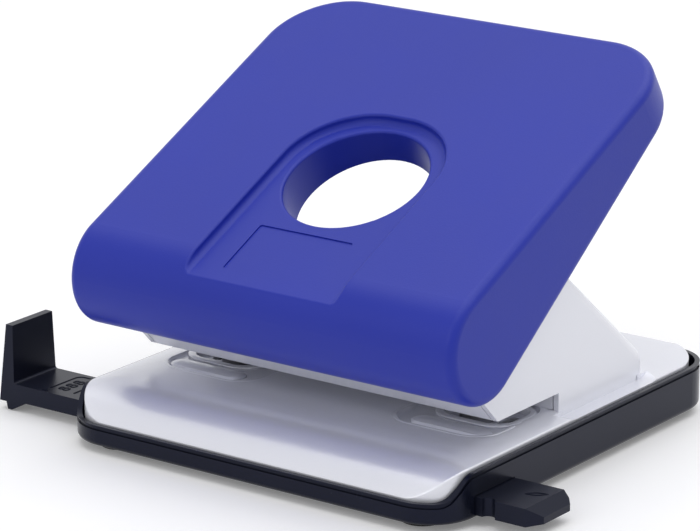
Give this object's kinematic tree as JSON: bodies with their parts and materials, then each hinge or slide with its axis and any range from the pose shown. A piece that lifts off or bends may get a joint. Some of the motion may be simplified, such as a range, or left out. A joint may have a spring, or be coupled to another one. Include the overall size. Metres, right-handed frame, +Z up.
{
  "type": "two_hole_paper_punch",
  "caption": "Desk paper punch: sloping lever cover with finger hole over a folded steel frame, pressed base plate on a chip tray, and sliding paper guide.",
  "frame": {"origin": "middle of the base's footprint, on the desk, at the face of the middle rubber foot", "axes": "+X to the right seen from the front, where the paper goes in; +Y to the back; +Z up"},
  "size_m": [0.1786, 0.134, 0.1055],
  "materials": {
    "cover_blue": "satin moulded",
    "plate_silver": "fine silver-grey lacquer",
    "frame_silver": "fine silver-grey lacquer",
    "tray_black": "gloss moulded",
    "guide_black": "satin moulded",
    "rubber": "matt",
    "steel": "ground",
    "zinc": "zinc plated",
    "tool_steel": "hardened and ground",
    "spring_steel": "bright"
  },
  "bodies": {
    "base": {"base_tray": "tray_black", "rubber_feet": "rubber", "detent_leaf": "spring_steel", "hinge_pin": "steel"},
    "works": {"base_plate": "plate_silver", "punch_frame": "frame_silver", "punch_bridge": "frame_silver", "frame_rivets": "zinc", "stop_buffer": "rubber", "die_left": "tool_steel", "die_right": "tool_steel", "guide_bush_left": "tool_steel", "guide_bush_right": "tool_steel", "pivot_axle": "steel", "axle_clip_left": "spring_steel", "axle_clip_right": "spring_steel", "axle_spacer_left": "steel", "axle_spacer_right": "steel", "return_spring_left": "spring_steel", "return_spring_right": "spring_steel"},
    "handle": {"lever_yoke": "zinc", "press_rod": "steel", "handle_cover": "cover_blue", "cover_screws": "zinc"},
    "punch_left": {"punch_left": "tool_steel"},
    "punch_right": {"punch_right": "tool_steel"},
    "paper_guide": {"paper_guide": "guide_black"}
  },
  "joints": [
    {"name": "handle_pivot", "type": "hinge", "parent": "works", "child": "handle", "pos_m": [0, -0.0472, 0.0462], "axis": [-1, 0, 0], "range_deg": [0, 17], "stiffness_Nm_per_rad": 2.7, "springref_deg": -11.46},
    {"name": "punch_left_slide", "type": "slide", "parent": "works", "child": "punch_left", "axis": [0, 0, -1], "range_m": [0, 0.00895], "deforming": ["return_spring_left"]},
    {"name": "punch_right_slide", "type": "slide", "parent": "works", "child": "punch_right", "axis": [0, 0, -1], "range_m": [0, 0.00895], "deforming": ["return_spring_right"]},
    {"name": "tray_opening", "type": "hinge", "parent": "base", "child": "works", "pos_m": [0, 0.0585, 0.0129], "axis": [-1, 0, 0], "range_deg": [0, 50]},
    {"name": "guide_slide", "type": "slide", "parent": "base", "child": "paper_guide", "axis": [-1, 0, 0], "range_m": [-0.0174, 0.0571]}
  ],
  "couplings": [
    {"joint": "punch_left_slide", "follows": "handle_pivot", "m_per_rad": 0.0301},
    {"joint": "punch_right_slide", "follows": "handle_pivot", "m_per_rad": 0.0301}
  ]
}
